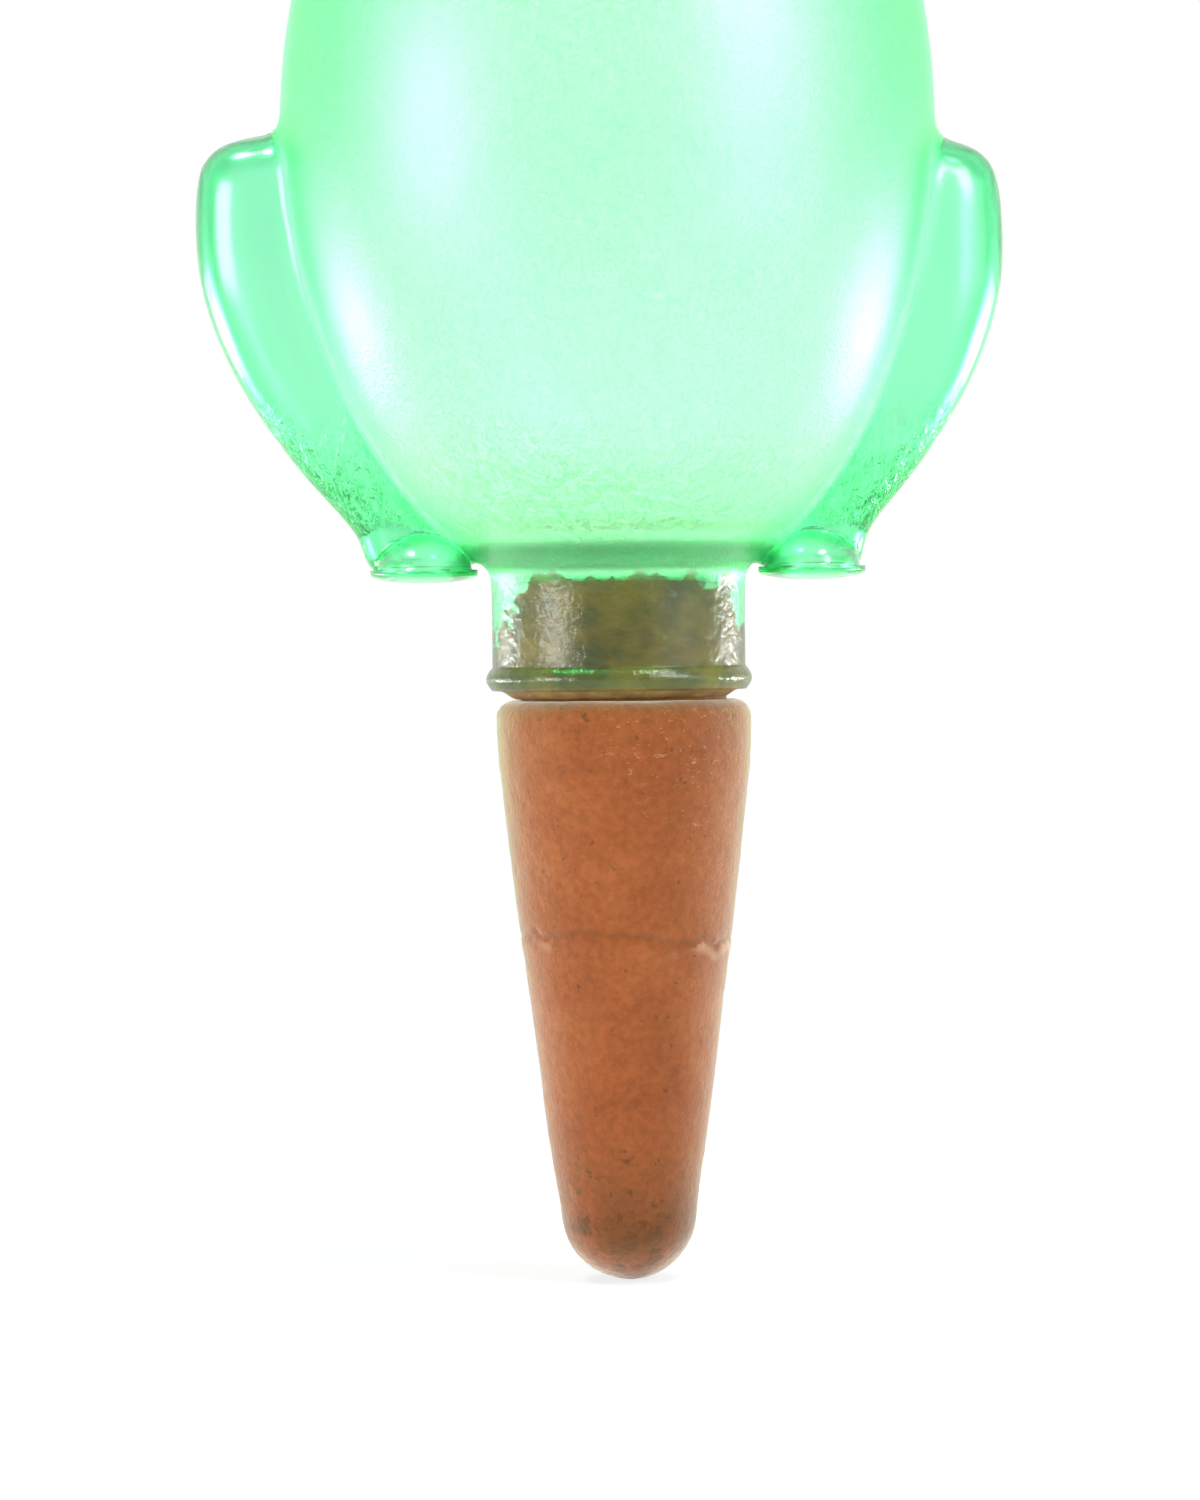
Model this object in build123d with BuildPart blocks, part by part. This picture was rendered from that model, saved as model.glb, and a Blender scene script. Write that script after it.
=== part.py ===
from build123d import *
from math import acos, atan2, degrees, pi, sqrt, tan
import os

# Self-watering spike for potted plants.
#
# A blown plastic reservoir stands on a hollow clay cone. The cone is pushed into the
# soil up to its shoulder, and the water in the reservoir seeps out through the clay.
# The reservoir is one moulding: an egg-shaped body, two hollow side lobes that narrow
# to flared feet, a neck with a rolled lip below, and a filler mouth on top. Sealant
# holds the cone's spigot in the neck. A push-fit cap with a vent closes the mouth.
#
# Origin: on the axis, at the soil line, level with the cone's shoulder.
# +Z is up. The side lobes lie along X, and the toes of the feet point to -Y.
# All sizes are in millimetres.

# Clay cone, as wide at its shoulder as the neck above it
cone_radius = 15.0
cone_band = 2.5  # straight side between the shoulder's round and the taper
cone_length = 68.5  # soil line to tip
cone_end_radius = 7.2  # where the taper would meet the level of the tip
nose_share = 0.97  # how much of that end the nose's round takes up
belly_share = 0.8  # how much of the band the round into the taper takes up
shoulder_round = 2.0
spigot_height = 14.6
spigot_wall = 3.8
spigot_chamfer = 0.9
well_end_radius = 4.8  # bottom of the hollow that holds water
well_end_round_share = 0.7
well_floor = 11.5  # clay between the hollow's bottom and the tip

# Reservoir body and neck
body_radius = 38.9
body_half_height = 56.2
body_wall = 1.1
neck_wall = 0.9
neck_length = 14.3
neck_root_round = 1.2
neck_gap = 1.2  # between the cone's shoulder and the neck's lip
lip_overhang = 0.7
lip_height = 2.7

# Side lobes and feet
lobe_stand_out = 10.6  # how far a lobe stands out of the body at its fullest
lobe_half_width = 11.3
lobe_half_depth = 9.6
lobe_height = 50.85
lobe_top_round = 3.6
lobe_crease_round = 0.8  # where a lobe meets the body
foot_half_width = 6.3
foot_half_depth = 8.6
foot_forward = 2.6  # how far the foot's middle lies ahead of the lobe's
foot_dome = 4.5
foot_sole = 1.0  # bulge of the underside
foot_rim = 0.5  # thickness of the flared rim
foot_rim_overhang = 0.7
foot_gap = 1.5  # between the foot and the neck

# A lobe's sections, from the ankle to the flat top: shares of the lobe's height, of
# its stand-out, of its half width and of its half depth
lobe_shares = (
    (0.00, 1.32, 0.50, 0.52),
    (0.09, 0.88, 0.55, 0.58),
    (0.26, 0.87, 0.74, 0.75),
    (0.45, 0.97, 0.89, 0.90),
    (0.64, 1.00, 0.99, 0.98),
    (0.82, 0.90, 1.00, 1.00),
    (1.00, 0.73, 0.94, 0.95),
)

# Filler mouth
mouth_radius = 20.0
mouth_wall = 1.3
mouth_height = 12.0
mouth_root_round = 4.0
bead_overhang = 0.5  # rolled bead below the mouth's rim
bead_height = 2.0
bead_drop = 1.2  # smooth stretch between the rim and the bead

# Filler cap
cap_wall = 1.4
cap_skirt = 8.5  # from the mouth's rim down
cap_clearance = 0.3  # round the mouth's bead
cap_dome = 2.6
cap_edge_share = 0.8  # how much of the wall the rim's outer round takes up
plug_depth = 6.5
plug_wall = 1.3
plug_taper = 0.4
plug_clearance = 0.35
vent_radius = 1.0
grip_count = 40
grip_radius = 0.55
grip_margin = 1.1  # smooth band below and above the grip ribs

# Sealant round the spigot, with pockets where it doesn't wet the neck
sealant_thickness = 1.95
sealant_low_gap = 0.9  # from the neck's lower end
sealant_top_gap = 1.1  # below the spigot's end
pocket_depth_share = 0.45
pocket_width = 6.0
pocket_height = 7.0
# Each pocket: turn about the axis from -Y towards +X in degrees, then its middle's
# height, its width and its height as shares of the sleeve's height and the two sizes
pocket_shares = (
    (-80, 0.62, 0.70, 1.10),
    (-38, 0.38, 1.00, 0.60),
    (-12, 1.00, 0.80, 0.40),
    (28, 1.00, 1.10, 0.50),
    (66, 0.85, 0.60, 0.50),
    (82, 0.50, 0.55, 0.80),
    (150, 0.45, 1.00, 0.80),
    (215, 0.70, 0.80, 0.70),
)

cut_over = 1.0  # how far a cut runs past the face that it opens


# Height of the egg's surface above its middle, at a distance from the axis
def body_rise(distance):
    return body_half_height * sqrt(1 - (distance / body_radius) ** 2)


# Distance of the egg's surface from the axis, at a height above its middle
def body_reach(height):
    return body_radius * sqrt(1 - (height / body_half_height) ** 2)


# Sizes and levels that follow from the ones above
neck_radius = cone_radius
neck_bore = neck_radius - neck_wall
spigot_radius = neck_bore - sealant_thickness
well_radius = spigot_radius - spigot_wall
mouth_bore = mouth_radius - mouth_wall
neck_top_z = neck_gap + neck_length
body_centre_z = neck_top_z + body_rise(neck_radius)
mouth_base_z = body_centre_z + body_rise(mouth_radius)
mouth_rim_z = mouth_base_z + mouth_height
bead_low_z = mouth_rim_z - bead_drop - bead_height
foot_rim_z = neck_top_z
foot_centre_x = neck_radius + foot_gap + foot_half_width
lobe_base_z = foot_rim_z - foot_rim / 2

os.makedirs("parts", exist_ok=True)

# Clay cone: the outside with its shoulder and spigot, then the tapered well
taper_top_z = -shoulder_round - cone_band
taper_angle = atan2(cone_length + taper_top_z, cone_radius - cone_end_radius)
nose_round = nose_share * cone_end_radius / tan(taper_angle / 2)
belly_round = belly_share * cone_band / tan((pi / 2 - taper_angle) / 2)

with BuildPart() as clay_cone:
    with BuildSketch(Plane.XZ):
        with BuildLine():
            FilletPolyline(
                (0, -cone_length),
                (cone_end_radius, -cone_length),
                (cone_radius, taper_top_z),
                (cone_radius, 0),
                (spigot_radius, 0),
                (spigot_radius, spigot_height - spigot_chamfer),
                (spigot_radius - spigot_chamfer, spigot_height),
                (0, spigot_height),
                radius=(0, nose_round, belly_round, shoulder_round, 0, 0, 0, 0),
                close=True,
            )
        make_face()
    revolve(axis=Axis.Z)
    with BuildSketch(Plane.XZ):
        with BuildLine():
            FilletPolyline(
                (0, well_floor - cone_length),
                (well_end_radius, well_floor - cone_length),
                (well_radius, spigot_height),
                (0, spigot_height),
                radius=(0, well_end_round_share * well_end_radius, 0, 0),
                close=True,
            )
        make_face()
    revolve(axis=Axis.Z, mode=Mode.SUBTRACT)

clay_cone.part.label = "clay_cone"
export_step(clay_cone.part, "parts/clay_cone.step")

# Sealant sleeve between the spigot and the neck
sealant_low_z = neck_gap + sealant_low_gap
sealant_height = spigot_height - sealant_top_gap - sealant_low_z

with BuildPart() as sealant_sleeve:
    with BuildSketch(Plane.XY.offset(sealant_low_z)):
        Circle(neck_bore)
        Circle(spigot_radius, mode=Mode.SUBTRACT)
    extrude(amount=sealant_height)
    for turn, height, width, tall in pocket_shares:
        pocket_plane = Plane.XZ.rotated((0, turn, 0)).offset(
            neck_bore - pocket_depth_share * sealant_thickness
        )
        with BuildSketch(pocket_plane):
            with Locations((0, sealant_low_z + height * sealant_height)):
                Ellipse(width * pocket_width / 2, tall * pocket_height / 2)
        extrude(amount=sealant_thickness, mode=Mode.SUBTRACT)

sealant_sleeve.part.label = "sealant_sleeve"
export_step(sealant_sleeve.part, "parts/sealant_sleeve.step")


# The reservoir's form, drawn in on every side by the inset: an egg turned in one outline
# with its neck and mouth, whose ends run on by the overrun, and the two side lobes
def hollow_form(inset, neck, mouth, overrun):
    with BuildPart() as lobe:
        for height, stand_out, width, depth in lobe_shares:
            level = lobe_base_z + height * lobe_height
            outer_x = body_reach(level - body_centre_z) + stand_out * lobe_stand_out
            half_width = width * lobe_half_width
            with BuildSketch(Plane.XY.offset(level + inset * (1 - 2 * height))):
                with Locations((outer_x - half_width, 0)):
                    Ellipse(half_width - inset, depth * lobe_half_depth - inset)
        loft()

    egg_radius = body_radius - inset
    neck_angle = degrees(acos(neck / egg_radius))
    mouth_angle = degrees(acos(mouth / egg_radius))
    with BuildPart() as form:
        with BuildSketch(Plane.YZ) as outline:
            with BuildLine():
                egg = EllipticalCenterArc(
                    (0, body_centre_z),
                    egg_radius,
                    body_half_height - inset,
                    start_angle=-neck_angle,
                    arc_size=neck_angle + mouth_angle,
                )
                Polyline(
                    egg @ 0,
                    (neck, neck_gap - overrun),
                    (0, neck_gap - overrun),
                    (0, mouth_rim_z + overrun),
                    (mouth, mouth_rim_z + overrun),
                    egg @ 1,
                )
            make_face()
            neck_root = outline.vertices().sort_by_distance(egg @ 0)[0]
            fillet(neck_root, neck_root_round + inset)
            mouth_root = outline.vertices().sort_by_distance(egg @ 1)[0]
            fillet(mouth_root, mouth_root_round + inset)
        revolve(axis=Axis.Z)
        for turn in (0, 180):
            add(lobe.part, rotation=(0, 0, turn))
        # The highest level face is the mouth's, and the lobes' tops come next below it
        lobe_tops = form.faces().filter_by(Axis.Z).sort_by(Axis.Z)[-3:-1]
        outer_rims = lobe_tops.edges().filter_by(
            lambda edge: abs(edge.center().X) > egg_radius
        )
        fillet(outer_rims, lobe_top_round - inset)
        egg_face = form.faces().filter_by(GeomType.REVOLUTION)
        creases = egg_face.edges().filter_by(GeomType.BSPLINE)
        fillet(creases, lobe_crease_round + inset)
    return form.part


# A rolled bead round a wall: a ring whose section is a half ellipse that bulges out
def bead_ring(radius, low_z, overhang, height):
    middle_z = low_z + height / 2
    with BuildPart() as bead:
        with BuildSketch(Plane.XZ):
            with BuildLine():
                EllipticalCenterArc(
                    (radius, middle_z),
                    overhang,
                    height / 2,
                    start_angle=-90,
                    arc_size=180,
                )
                Line((radius, low_z + height), (radius, low_z))
            make_face()
        revolve(axis=Axis.Z)
    return bead.part


# One foot: a domed pad with a thin flared rim and a bulging sole
foot_crown = foot_half_width - foot_rim_overhang
foot_rim_low_z = foot_rim_z - foot_rim

with BuildPart() as foot:
    with BuildSketch(Plane.XZ):
        with BuildLine():
            EllipticalCenterArc((0, foot_rim_z), foot_crown, foot_dome)
            Line((0, foot_rim_z + foot_dome), (0, foot_rim_low_z - foot_sole))
            EllipticalCenterArc(
                (0, foot_rim_low_z), foot_half_width, foot_sole, start_angle=-90
            )
            Line((foot_half_width, foot_rim_low_z), (foot_half_width, foot_rim_z))
            Line((foot_half_width, foot_rim_z), (foot_crown, foot_rim_z))
        make_face()
    revolve(axis=Axis.Z)
    scale(by=(1, foot_half_depth / foot_half_width, 1), about=(0, 0, 0))

# Reservoir: the outside with its feet and beads, then the hollow with both bores
with BuildPart() as reservoir:
    add(hollow_form(0, neck_radius, mouth_radius, 0))
    for side in (1, -1):
        with Locations((side * foot_centre_x, -foot_forward, 0)):
            add(foot.part)
    add(bead_ring(neck_radius, neck_gap, lip_overhang, lip_height))
    add(bead_ring(mouth_radius, bead_low_z, bead_overhang, bead_height))
    add(hollow_form(body_wall, neck_bore, mouth_bore, cut_over), mode=Mode.SUBTRACT)

reservoir.part.label = "reservoir"
export_step(reservoir.part, "parts/reservoir.step")

# Filler cap: a shallow dome with a skirt outside the mouth and a plug ring inside it
cap_bore = mouth_radius + bead_overhang + cap_clearance
cap_radius = cap_bore + cap_wall
cap_low_z = mouth_rim_z - cap_skirt
cap_edge_z = mouth_rim_z + cap_wall
plug_radius = mouth_bore - plug_clearance
plug_low_z = mouth_rim_z - plug_depth

with BuildPart() as filler_cap:
    with BuildSketch(Plane.XZ) as cap_profile:
        with BuildLine():
            TangentArc(
                (0, cap_edge_z + cap_dome), (cap_radius, cap_edge_z), tangent=(1, 0)
            )
            Polyline(
                (cap_radius, cap_edge_z),
                (cap_radius, cap_low_z),
                (cap_bore, cap_low_z),
                (cap_bore, mouth_rim_z),
                (plug_radius, mouth_rim_z),
                (plug_radius - plug_taper, plug_low_z),
                (plug_radius - plug_wall, plug_low_z),
                (plug_radius - plug_wall, mouth_rim_z),
            )
            TangentArc(
                (0, mouth_rim_z + cap_dome),
                (plug_radius - plug_wall, mouth_rim_z),
                tangent=(1, 0),
            )
            Line((0, mouth_rim_z + cap_dome), (0, cap_edge_z + cap_dome))
        make_face()
        rim = cap_profile.vertices().group_by(Axis.X)[-1].sort_by(Axis.Y)[-1]
        fillet(rim, cap_edge_share * cap_wall)
    revolve(axis=Axis.Z)
    with BuildSketch(Plane.XY.offset(cap_low_z + grip_margin)):
        with PolarLocations(cap_radius, grip_count):
            Circle(grip_radius)
    extrude(amount=cap_edge_z - cap_low_z - 2 * grip_margin)
    with BuildSketch(Plane.XY.offset(cap_low_z)):
        Circle(vent_radius)
    extrude(amount=cap_edge_z + cap_dome - cap_low_z, mode=Mode.SUBTRACT)

filler_cap.part.label = "filler_cap"
export_step(filler_cap.part, "parts/filler_cap.step")
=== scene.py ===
# Self watering spike: a clear green reservoir on a hollow clay cone, in a white studio.
# Sizes are in metres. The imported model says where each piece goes.
from math import atan2, copysign, degrees, pi, radians, sin, sqrt, tau

import bmesh
import bpy
from mathutils import Matrix, Quaternion, Vector, noise


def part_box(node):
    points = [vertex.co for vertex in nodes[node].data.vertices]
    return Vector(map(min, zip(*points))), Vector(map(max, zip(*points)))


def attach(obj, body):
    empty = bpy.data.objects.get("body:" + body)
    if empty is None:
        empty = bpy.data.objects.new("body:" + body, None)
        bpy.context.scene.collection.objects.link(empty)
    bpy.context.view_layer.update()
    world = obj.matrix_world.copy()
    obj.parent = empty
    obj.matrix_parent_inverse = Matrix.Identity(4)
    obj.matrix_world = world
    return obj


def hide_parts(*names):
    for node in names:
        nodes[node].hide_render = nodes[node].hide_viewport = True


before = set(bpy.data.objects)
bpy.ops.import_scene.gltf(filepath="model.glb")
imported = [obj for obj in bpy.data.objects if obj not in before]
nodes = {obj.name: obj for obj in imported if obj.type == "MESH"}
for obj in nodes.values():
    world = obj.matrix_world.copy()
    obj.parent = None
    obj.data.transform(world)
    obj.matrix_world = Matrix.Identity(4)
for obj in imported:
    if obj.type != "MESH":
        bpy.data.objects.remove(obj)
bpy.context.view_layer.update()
print("frame loaded:", ", ".join(sorted(nodes)))

mainBody = "reservoir_and_cone"
reservoirLow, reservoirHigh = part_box("reservoir")
coneLow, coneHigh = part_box("clay_cone")
sameSpot = 1e-6  # corners closer together than this are one
onPlane = 1e-7  # and closer to a cutting plane than this are in it


# Shared helpers for meshes

def showPiece(name, mesh, material):
    mesh.materials.clear()
    mesh.materials.append(material)
    mesh.shade_smooth()
    piece = bpy.data.objects.new(name, mesh)
    bpy.context.scene.collection.objects.link(piece)
    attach(piece, mainBody)
    return piece


def toMesh(bm, name):
    mesh = bpy.data.meshes.new(name)
    bm.to_mesh(mesh)
    bm.free()
    return mesh


def withModifiers(mesh, *settings):
    # the mesh after a stack of modifiers, each given as (kind, {setting: value})
    helper = bpy.data.objects.new("helper", mesh)
    bpy.context.scene.collection.objects.link(helper)
    for kind, values in settings:
        modifier = helper.modifiers.new(kind, kind)
        for key, value in values.items():
            setattr(modifier, key, value)
    shaped = helper.evaluated_get(bpy.context.evaluated_depsgraph_get())
    result = bpy.data.meshes.new_from_object(shaped)
    bpy.data.objects.remove(helper)
    return result


def wireOutline(bm, points):
    corners = [bm.verts.new((x, 0, z)) for x, z in points]
    for low, high in zip(corners, corners[1:]):
        bm.edges.new((low, high))
    return corners


def roundCorner(bm, corner, reach, segments):
    bmesh.ops.bevel(
        bm, geom=[corner], offset=reach, offset_type="OFFSET", segments=segments,
        profile=0.5, affect="VERTICES", material=-1,
    )


def divideLong(bm, spacing):
    for edge in list(bm.edges):
        cuts = int(edge.calc_length() / spacing)
        if cuts:
            bmesh.ops.subdivide_edges(bm, edges=[edge], cuts=cuts)


def turnOutline(bm, steps):
    bmesh.ops.spin(
        bm, geom=bm.verts[:] + bm.edges[:], cent=(0, 0, 0), axis=(0, 0, 1),
        dvec=(0, 0, 0), angle=tau, steps=steps, use_merge=True, use_duplicate=False,
    )
    bmesh.ops.remove_doubles(bm, verts=bm.verts, dist=sameSpot)
    bmesh.ops.recalc_face_normals(bm, faces=bm.faces)


# Shared helpers for materials

def newMaterial(name):
    material = bpy.data.materials.new(name)
    material.use_nodes = True
    return material, material.node_tree, material.node_tree.nodes["Principled BSDF"]


def addNode(tree, kind, inputs=None, **settings):
    node = tree.nodes.new("ShaderNode" + kind)
    for key, value in settings.items():
        setattr(node, key, value)
    for socket, value in (inputs or {}).items():
        if isinstance(value, bpy.types.NodeSocket):
            tree.links.new(value, node.inputs[socket])
        else:
            node.inputs[socket].default_value = value
    return node


def maths(tree, operation, first, second=0.0, third=0.0):
    return addNode(tree, "Math", {0: first, 1: second, 2: third}, operation=operation).outputs[0]


def stepUp(tree, value, low, high):
    # 0 below low, 1 above high, eased between
    eased = addNode(
        tree, "MapRange", {"Value": value, "From Min": low, "From Max": high},
        interpolation_type="SMOOTHSTEP",
    )
    return eased.outputs["Result"]


def speckle(tree, place, scale, detail=3.0, roughness=0.5, distortion=0.0):
    return addNode(
        tree, "TexNoise",
        {"Vector": place, "Scale": scale, "Detail": detail, "Roughness": roughness,
         "Distortion": distortion},
    ).outputs["Fac"]


def stretched(tree, place, scale):
    return addNode(tree, "VectorMath", {0: place, 1: scale}, operation="MULTIPLY").outputs[0]


def tones(tree, value, stops):
    ramp = addNode(tree, "ValToRGB", {"Fac": value})
    elements = ramp.color_ramp.elements
    for index, (place, colour) in enumerate(stops):
        element = elements[index] if index < 2 else elements.new(place)
        element.position = place
        element.color = (*colour, 1)
    return ramp.outputs["Color"]


def blendColours(tree, share, first, second, mode="MIX"):
    mixed = addNode(
        tree, "Mix", {0: share, 6: first, 7: second}, data_type="RGBA", blend_type=mode
    )
    return mixed.outputs[2]


def tinted(tree, share, colour, tint):
    return blendColours(tree, share, colour, blendColours(tree, 1.0, colour, tint, "MULTIPLY"))


def mapRange(tree, value, fromRange, toRange):
    node = addNode(
        tree, "MapRange",
        {"Value": value, "From Min": fromRange[0], "From Max": fromRange[1],
         "To Min": toRange[0], "To Max": toRange[1]},
    )
    return node.outputs["Result"]


def lengthOf(tree, vector):
    return addNode(tree, "VectorMath", {0: vector}, operation="LENGTH").outputs["Value"]


def oneMinus(tree, value):
    return maths(tree, "SUBTRACT", 1.0, value)


def raised(tree, height, strength, distance, under=None):
    inputs = {"Height": height, "Strength": strength, "Distance": distance}
    if under is not None:
        inputs["Normal"] = under
    return addNode(tree, "Bump", inputs).outputs["Normal"]


# Camera: level with the neck, as far off as a product lens stands

view = {
    "eye": Vector((-0.00235, -0.6, 0.0083)),
    "target": Vector((-0.00235, 0.0, -0.0059)),
    "lean": radians(-0.62),  # the object's top leans left in the picture
    "lens": 121.9,
    "clipStart": 0.01,
}
cameraData = bpy.data.cameras.new("camera")
cameraData.lens = view["lens"]
cameraData.clip_start = view["clipStart"]
camera = bpy.data.objects.new("camera", cameraData)
camera.location = view["eye"]
aim = (view["target"] - view["eye"]).to_track_quat("-Z", "Y")
camera.rotation_euler = (aim @ Quaternion((0, 0, 1), view["lean"])).to_euler()
bpy.context.scene.collection.objects.link(camera)
bpy.context.scene.camera = camera
print("camera set")


# Studio: white floor and surround, soft boxes in front and strips at the sides

studio = {
    "floorSize": 8.0,
    "floorDrop": 0.0002,
    "fill": 0.30,  # how much the white surround lights matt surfaces
    "frontGloss": 0.22,  # how bright the room behind the camera is in reflections
    "glossFade": (-0.4, 0.5),  # from the front of the room to the back
    "floorTone": (0.86, 0.86, 0.86, 1),
    "floorRoughness": 0.9,
    "shadowShare": 0.22,
    "shadowReach": (0.12, 0.50),  # the floor turns plain white between these distances
}
softBoxes = [
    # name, place, aimed at, size, power, and whether it spares the clay
    ("leftFront", (-0.67, -0.39, 0.105), (0, 0, 0.05), (0.38, 0.36), 4.8, False),
    ("rightFront", (0.56, -0.46, 0.40), (0, 0, 0.06), (0.22, 0.36), 2.7, False),
    ("rightPanel", (0.60, -0.35, 0.15), (0, 0, 0.04), (0.60, 0.40), 1.1, False),
    ("rightBack", (0.37, 0.200, -0.016), (0, 0, 0.01), (0.24, 0.09), 0.28, False),
    ("leftBack", (-0.37, 0.200, -0.016), (0, 0, 0.01), (0.24, 0.09), 0.27, False),
    ("rightFloor", (0.34, 0.170, -0.046), (0, 0, 0.03), (0.20, 0.036), 0.56, False),
    ("leftFloor", (-0.34, 0.170, -0.046), (0, 0, 0.03), (0.20, 0.036), 0.34, False),
    ("topRight", (0.28, -0.25, 0.62), (0, 0, 0.06), (0.12, 0.12), 2.9, True),
    ("topLeft", (-0.31, -0.10, 0.66), (0, 0, 0.06), (0.12, 0.12), 3.3, True),
]


def clearPathShare(tree):
    # 1 for what the camera sees, straight or through a mirror or glass, and 0 after a matt bounce
    path = addNode(tree, "LightPath")
    seen = maths(tree, "MAXIMUM", path.outputs["Is Camera Ray"], path.outputs["Is Glossy Ray"])
    seen = maths(tree, "MAXIMUM", seen, path.outputs["Is Transmission Ray"])
    direct = maths(tree, "LESS_THAN", path.outputs["Diffuse Depth"], 0.5)
    return maths(tree, "MULTIPLY", seen, direct)


def makeFloor():
    material, tree, shader = newMaterial("floorWhite")
    shader.inputs["Base Color"].default_value = studio["floorTone"]
    shader.inputs["Roughness"].default_value = studio["floorRoughness"]
    shader.inputs["Specular IOR Level"].default_value = 0.0
    white = addNode(tree, "Emission", {"Color": (1, 1, 1, 1), "Strength": 1.0})
    reach = lengthOf(tree, addNode(tree, "TexCoord").outputs["Object"])
    plain = stepUp(tree, reach, *studio["shadowReach"])
    plain = mapRange(tree, plain, (0.0, 1.0), (1 - studio["shadowShare"], 1.0))
    share = maths(tree, "MULTIPLY", clearPathShare(tree), plain)
    mixed = addNode(tree, "MixShader", {0: share, 1: shader.outputs["BSDF"], 2: white.outputs[0]})
    tree.links.new(mixed.outputs[0], tree.nodes["Material Output"].inputs["Surface"])
    bm = bmesh.new()
    drop = Matrix.Translation((0, 0, coneLow[2] - studio["floorDrop"]))
    bmesh.ops.create_grid(
        bm, x_segments=1, y_segments=1, size=studio["floorSize"] / 2, matrix=drop
    )
    mesh = toMesh(bm, "floor")
    mesh.materials.append(material)
    floor = bpy.data.objects.new("floor", mesh)
    bpy.context.scene.collection.objects.link(floor)
    return floor


def makeSurround():
    world = bpy.data.worlds.new("surround")
    world.use_nodes = True
    tree = world.node_tree
    background = tree.nodes["Background"]
    background.inputs["Color"].default_value = (1, 1, 1, 1)
    direction = addNode(tree, "TexCoord").outputs["Generated"]
    towardsBack = addNode(tree, "SeparateXYZ", {0: direction}).outputs["Y"]
    gloss = mapRange(tree, towardsBack, studio["glossFade"], (studio["frontGloss"], 1.0))
    path = addNode(tree, "LightPath")
    mirrored = maths(tree, "MULTIPLY", path.outputs["Is Glossy Ray"], oneMinus(tree, gloss))
    clear = maths(tree, "MULTIPLY", clearPathShare(tree), oneMinus(tree, mirrored))
    tree.links.new(maths(tree, "MAXIMUM", clear, studio["fill"]), background.inputs["Strength"])
    bpy.context.scene.world = world


def makeSoftBoxes():
    # the two lamps above spare the clay, as their light through green plastic would stain it
    lit = bpy.data.collections.new("litFromAbove")
    for name, place, target, size, power, spares in softBoxes:
        data = bpy.data.lights.new(name, "AREA")
        data.shape = "RECTANGLE"
        data.size, data.size_y = size
        data.energy = power
        lamp = bpy.data.objects.new(name, data)
        lamp.location = place
        aimed = Vector(target) - Vector(place)
        lamp.rotation_euler = aimed.to_track_quat("-Z", "Y").to_euler()
        lamp.visible_camera = False
        if spares:
            lamp.light_linking.receiver_collection = lit
        bpy.context.scene.collection.objects.link(lamp)
    return lit


makeSurround()
litFromAbove = makeSoftBoxes()
litFromAbove.objects.link(makeFloor())
bpy.context.scene.view_settings.view_transform = "Standard"
print("studio set")


# Reservoir: one blown shell, frosted on the egg and clear on the lobes, neck and feet

egg = {
    "radius": 0.03855,
    "bow": 0.0007,  # its middle sits this much to the left of its ends
    "halfHeight": 0.0562,
    "middleZ": 0.067354,
    "neckRadius": 0.015,
    "neckTopZ": 0.0155,
    "mouthRadius": 0.020,
    "mouthBaseZ": 0.115557,
    "mouthFlare": 0.0034,
    "wall": 0.001,
    "grain": 0.0009,  # size of the mesh that joins the forms
    "softening": 8,  # rounds of smoothing, each by this share
    "softened": 0.5,
    "spare": 0.006,  # length of neck and mouth that is cut off again after the softening
    "sides": 192,
    "rings": 144,
    "drumSides": 144,
}
lobe = {
    "standOut": 0.0106,
    "halfWidth": 0.0113,
    "halfDepth": 0.0096,
    "lowZ": 0.01525,
    "height": 0.05085,
    "topRound": 0.0050,
    "rings": 44,
    "sides": 72,
    "squareness": 0.66,  # 1 is a plain oval section, less has flatter sides
    # how far each side's top stands out, and rises, from the table below
    "right": {"turn": 0.0, "out": (0.0, -0.0013), "rise": -0.0006},
    "left": {"turn": pi, "out": (0.0008, 0.0012), "rise": 0.0005},
    # from the ankle to the flat top: shares of height, stand-out, width and depth
    "shares": [
        (0.00, 1.32, 0.50, 0.52),
        (0.09, 0.88, 0.55, 0.58),
        (0.26, 0.87, 0.74, 0.75),
        (0.45, 0.97, 0.89, 0.90),
        (0.64, 1.00, 0.99, 0.98),
        (0.82, 0.90, 1.00, 1.00),
        (1.00, 0.73, 0.94, 0.95),
    ],
}
foot = {
    "place": (0.0228, -0.0026),
    "rimZ": 0.0155,
    "halfWidth": 0.0063,
    "halfDepth": 0.0086,
    "dome": 0.0045,
    "sole": 0.0010,
    "rim": 0.0005,
    "rimOverhang": 0.0007,
    "wall": 0.0006,
    "ankle": (0.0046, 0.0040),  # the opening from a foot into its lobe
    "ankleSides": 64,
    "sides": 96,
    "domeSteps": 14,
}
lip = {"radius": 0.015, "lowZ": 0.0012, "height": 0.0027, "overhang": 0.0007}
bead = {"radius": 0.020, "lowZ": 0.124357, "height": 0.0020, "overhang": 0.0005}
ringSteps = 10


def eggReach(height):
    return egg["radius"] * sqrt(max(0.0, 1 - (height / egg["halfHeight"]) ** 2))


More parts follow.
